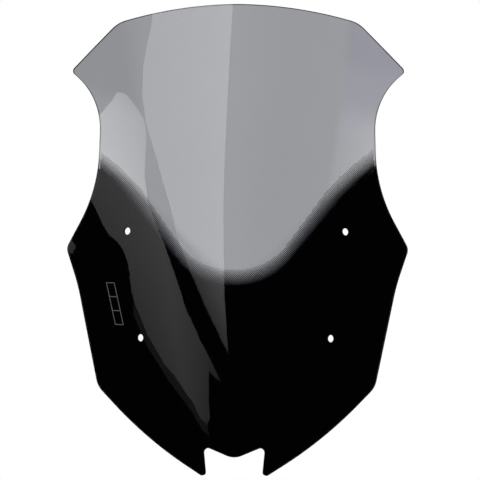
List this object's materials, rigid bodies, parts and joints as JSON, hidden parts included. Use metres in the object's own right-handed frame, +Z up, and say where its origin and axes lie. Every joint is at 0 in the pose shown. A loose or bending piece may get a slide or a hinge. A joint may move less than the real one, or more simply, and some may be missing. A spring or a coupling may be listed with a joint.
{
  "type": "motorcycle windshield screen",
  "caption": "Curved smoked acrylic touring screen with flared ears, nose notch, bolt holes and a printed black lower half.",
  "frame": {"origin": "front face of the sheet on its centre plane, midway in height between the upper and lower bolt holes", "axes": "+Z up the screen, +Y from the wind side towards the rider, +X to the right seen from the wind side"},
  "size_m": [0.3778, 0.124, 0.5076],
  "materials": {
    "smoked_acrylic": "gloss",
    "black_ink": "satin",
    "halftone_ink": "satin",
    "grey_ink": "matte"
  },
  "bodies": {
    "root": {"screen_pane": "smoked_acrylic", "mask_print": "black_ink", "fade_print": "halftone_ink", "side_mark": "grey_ink"}
  },
  "joints": []
}
